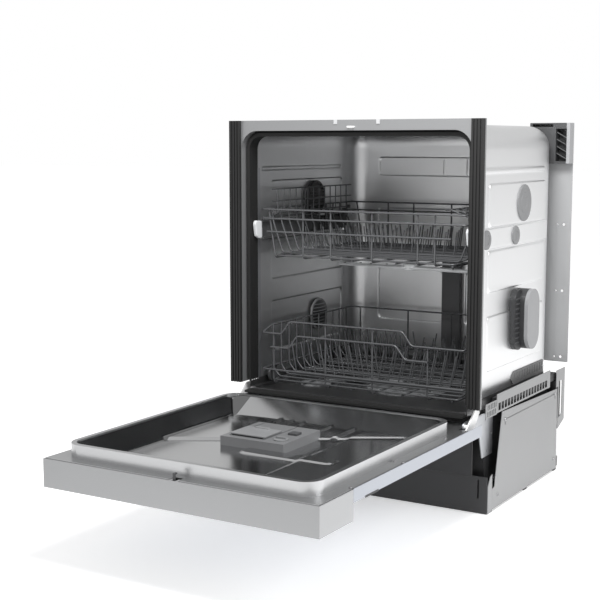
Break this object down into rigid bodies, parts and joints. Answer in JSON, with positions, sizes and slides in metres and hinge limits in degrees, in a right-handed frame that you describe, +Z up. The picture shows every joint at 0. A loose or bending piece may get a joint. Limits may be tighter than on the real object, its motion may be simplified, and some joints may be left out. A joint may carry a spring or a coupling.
{
  "type": "built-in dishwasher",
  "caption": "Built-in dishwasher with a drop-down door lying open, steel tub, two sliding wire baskets, spray arms and a vented base.",
  "frame": {"origin": "on the floor, in the middle, under the front face of the frame round the opening", "axes": "+X to the right seen from the front, +Y into the machine, +Z up; the door is modelled open, level, in front of the machine"},
  "size_m": [0.598, 1.161, 0.815],
  "materials": {
    "painted_frame": "satin grey coated steel",
    "stainless": "satin stainless steel",
    "bright_stainless": "fine satin stainless steel",
    "galvanised": "galvanised sheet",
    "black_plastic": "matt moulded plastic",
    "dark_plastic": "dark grey moulded plastic",
    "grey_plastic": "mid grey moulded plastic",
    "light_plastic": "light grey moulded plastic",
    "duct_plastic": "dark grey moulded plastic",
    "kick_black": "dark grey satin paint",
    "base_grey": "grey coated sheet",
    "seal_rubber": "black rubber",
    "bitumen": "dark grey bitumen pad",
    "felt": "pressed felt",
    "rack_wire": "grey nylon-coated wire",
    "white_steel": "white coated steel",
    "panel_face": "light satin metallic face",
    "door_steel": "smooth coated steel, bluish grey",
    "display_glass": "tinted clear window",
    "board_green": "circuit board",
    "spring_steel": "bright spring steel"
  },
  "bodies": {
    "machine": {"base_tray": "black_plastic", "base_side_frames": "black_plastic", "base_side_panels": "base_grey", "kick_plate": "kick_black", "hinge_plates": "galvanised", "door_springs": "spring_steel", "sump": "dark_plastic", "circulation_pump": "dark_plastic", "drain_pump": "dark_plastic", "inlet_valve": "grey_plastic", "cable_gland": "black_plastic", "softener_tank": "light_plastic", "pump_pipes": "seal_rubber", "front_frame": "painted_frame", "side_seal_strips": "seal_rubber", "door_seal": "seal_rubber", "top_frame_fittings": "white_steel", "tub_wrapper": "stainless", "tub_back": "stainless", "tub_floor": "stainless", "filter_plate": "grey_plastic", "rear_frame": "base_grey", "rear_corner_brackets": "dark_plastic", "rail_roller_mounts": "grey_plastic", "side_plugs": "grey_plastic", "inlet_housing": "grey_plastic", "feed_duct": "duct_plastic", "sound_patches": "bitumen"},
    "door": {"door_liner": "bright_stainless", "door_outer_shell": "door_steel", "door_insulation": "felt", "control_panel": "panel_face", "display_window": "display_glass", "control_board": "board_green", "hinge_arms": "white_steel", "dispenser_body": "grey_plastic"},
    "rails": {"basket_rails": "grey_plastic", "rail_end_caps": "light_plastic"},
    "lower_basket": {"lower_basket": "rack_wire"},
    "upper_basket": {"upper_basket": "rack_wire", "upper_feed_tube": "grey_plastic"},
    "front_foot_left": {"front_foot_left": "black_plastic"},
    "front_foot_right": {"front_foot_right": "black_plastic"},
    "filter_cup": {"filter_cup": "grey_plastic"},
    "softener_cap": {"softener_cap": "grey_plastic"},
    "lower_spray_arm": {"lower_spray_arm": "grey_plastic"},
    "latch_hook": {"latch_hook": "dark_plastic"},
    "button_power": {"button_power": "dark_plastic"},
    "button_program": {"button_program": "dark_plastic"},
    "button_half_load": {"button_half_load": "dark_plastic"},
    "button_start": {"button_start": "dark_plastic"},
    "dispenser_lid": {"dispenser_lid": "light_plastic"},
    "dispenser_key": {"dispenser_key": "dark_plastic"},
    "rinse_cap": {"rinse_cap": "light_plastic"},
    "folding_tines": {"folding_tines": "rack_wire"},
    "lower_front_wheels": {"lower_front_wheels": "light_plastic"},
    "lower_rear_wheels": {"lower_rear_wheels": "light_plastic"},
    "cup_shelf_left": {"cup_shelf_left": "rack_wire"},
    "cup_shelf_right": {"cup_shelf_right": "rack_wire"},
    "upper_spray_arm": {"upper_spray_arm": "grey_plastic"}
  },
  "joints": [
    {"name": "door_hinge", "type": "hinge", "parent": "machine", "child": "door", "pos_m": [0, -0.011, 0.201], "axis": [-1, 0, 0], "range_deg": [0, 90]},
    {"name": "lower_basket_slide", "type": "slide", "parent": "machine", "child": "lower_basket", "axis": [0, 1, 0], "range_m": [-0.45, 0]},
    {"name": "upper_basket_slide", "type": "slide", "parent": "machine", "child": "upper_basket", "axis": [0, 1, 0], "range_m": [-0.45, 0]},
    {"name": "rail_slide", "type": "slide", "parent": "machine", "child": "rails", "axis": [0, 1, 0], "range_m": [-0.18, 0]},
    {"name": "left_foot_screw", "type": "slide", "parent": "machine", "child": "front_foot_left", "axis": [0, 0, -1], "range_m": [0, 0.03]},
    {"name": "right_foot_screw", "type": "slide", "parent": "machine", "child": "front_foot_right", "axis": [0, 0, -1], "range_m": [0, 0.03]},
    {"name": "filter_twist", "type": "hinge", "parent": "machine", "child": "filter_cup", "pos_m": [0.072, 0.18, 0.2], "axis": [0, 0, 1], "range_deg": [0, 60]},
    {"name": "salt_cap_screw", "type": "hinge", "parent": "machine", "child": "softener_cap", "pos_m": [-0.17, 0.15, 0.218], "axis": [0, 0, 1], "range_deg": [0, 270]},
    {"name": "lower_arm_spin", "type": "hinge", "parent": "machine", "child": "lower_spray_arm", "pos_m": [0.018, 0.262, 0.226], "axis": [0, 0, 1], "continuous": true},
    {"name": "upper_arm_spin", "type": "hinge", "parent": "upper_basket", "child": "upper_spray_arm", "pos_m": [0.018, 0.262, 0.486], "axis": [0, 0, 1], "continuous": true},
    {"name": "latch_turn", "type": "hinge", "parent": "door", "child": "latch_hook", "pos_m": [0.002, -0.619, 0.192], "axis": [-1, 0, 0], "range_deg": [0, 12], "stiffness_Nm_per_rad": 0.05},
    {"name": "power_press", "type": "slide", "parent": "door", "child": "button_power", "axis": [0, 0, 1], "range_m": [0, 0.0015], "stiffness_N_per_m": 400},
    {"name": "program_press", "type": "slide", "parent": "door", "child": "button_program", "axis": [0, 0, 1], "range_m": [0, 0.0015], "stiffness_N_per_m": 400},
    {"name": "half_load_press", "type": "slide", "parent": "door", "child": "button_half_load", "axis": [0, 0, 1], "range_m": [0, 0.0015], "stiffness_N_per_m": 400},
    {"name": "start_press", "type": "slide", "parent": "door", "child": "button_start", "axis": [0, 0, 1], "range_m": [0, 0.0015], "stiffness_N_per_m": 400},
    {"name": "lid_slide", "type": "slide", "parent": "door", "child": "dispenser_lid", "axis": [0, 1, 0], "range_m": [0, 0.055]},
    {"name": "lid_key_press", "type": "slide", "parent": "door", "child": "dispenser_key", "axis": [0, 0, -1], "range_m": [0, 0.003], "stiffness_N_per_m": 400},
    {"name": "rinse_cap_turn", "type": "hinge", "parent": "door", "child": "rinse_cap", "pos_m": [0.024, -0.312, 0.2], "axis": [0, 0, 1], "range_deg": [0, 90]},
    {"name": "tine_fold", "type": "hinge", "parent": "lower_basket", "child": "folding_tines", "pos_m": [0, 0.267, 0.2485], "axis": [1, 0, 0], "range_deg": [0, 86]},
    {"name": "front_wheel_roll", "type": "hinge", "parent": "lower_basket", "child": "lower_front_wheels", "pos_m": [0, 0.097, 0.2414], "axis": [-1, 0, 0], "continuous": true},
    {"name": "rear_wheel_roll", "type": "hinge", "parent": "lower_basket", "child": "lower_rear_wheels", "pos_m": [0, 0.403, 0.2414], "axis": [-1, 0, 0], "continuous": true},
    {"name": "left_shelf_fold", "type": "hinge", "parent": "upper_basket", "child": "cup_shelf_left", "pos_m": [-0.236, 0.25, 0.612], "axis": [0, 1, 0], "range_deg": [0, 70]},
    {"name": "right_shelf_fold", "type": "hinge", "parent": "upper_basket", "child": "cup_shelf_right", "pos_m": [0.236, 0.25, 0.612], "axis": [0, 1, 0], "range_deg": [0, 70]}
  ],
  "couplings": [
    {"joint": "rail_slide", "follows": "upper_basket_slide", "ratio": 0.4},
    {"joint": "front_wheel_roll", "follows": "lower_basket_slide", "rad_per_m": 62.5},
    {"joint": "rear_wheel_roll", "follows": "lower_basket_slide", "rad_per_m": 62.5}
  ]
}
